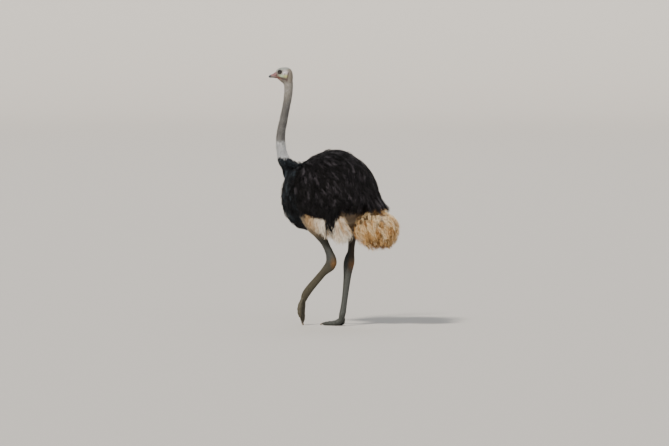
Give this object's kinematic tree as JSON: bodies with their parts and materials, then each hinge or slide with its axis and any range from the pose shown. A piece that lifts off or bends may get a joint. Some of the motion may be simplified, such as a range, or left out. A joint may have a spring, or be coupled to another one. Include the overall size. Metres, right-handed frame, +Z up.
{
  "type": "standing male ostrich",
  "caption": "Life-size still model of an adult male ostrich in mid-stride, with black body plumage, pale wing plumes, a buff tail and a bare grey neck.",
  "frame": {"origin": "on the floor, under the middle of the bird's bounding box", "axes": "+Z up; the bird faces -Y; its left side is +X"},
  "size_m": [0.6684, 1.311, 2.3045],
  "materials": {
    "body_plumage": "matte",
    "wing_plumage": "matte",
    "white_plumage": "matte",
    "tail_plumage": "matte",
    "neck_down": "matte",
    "head_skin": "matte",
    "leg_skin": "matte",
    "bill_horn": "satin",
    "claw_horn": "satin",
    "eye": "gloss"
  },
  "bodies": {
    "root": {"head": "head_skin", "bill_upper": "bill_horn", "bill_lower": "bill_horn", "eye_left": "eye", "eye_right": "eye", "neck_upper": "neck_down", "neck_middle": "neck_down", "neck_lower": "body_plumage", "trunk": "body_plumage", "tail": "tail_plumage", "wing_left": "wing_plumage", "wing_plumes_left": "white_plumage", "drumstick_left": "leg_skin", "shank_left": "leg_skin", "toe_big_left": "leg_skin", "toe_small_left": "leg_skin", "claw_left": "claw_horn", "wing_right": "wing_plumage", "wing_plumes_right": "white_plumage", "drumstick_right": "leg_skin", "shank_right": "leg_skin", "toe_big_right": "leg_skin", "toe_small_right": "leg_skin", "claw_right": "claw_horn"}
  },
  "joints": []
}
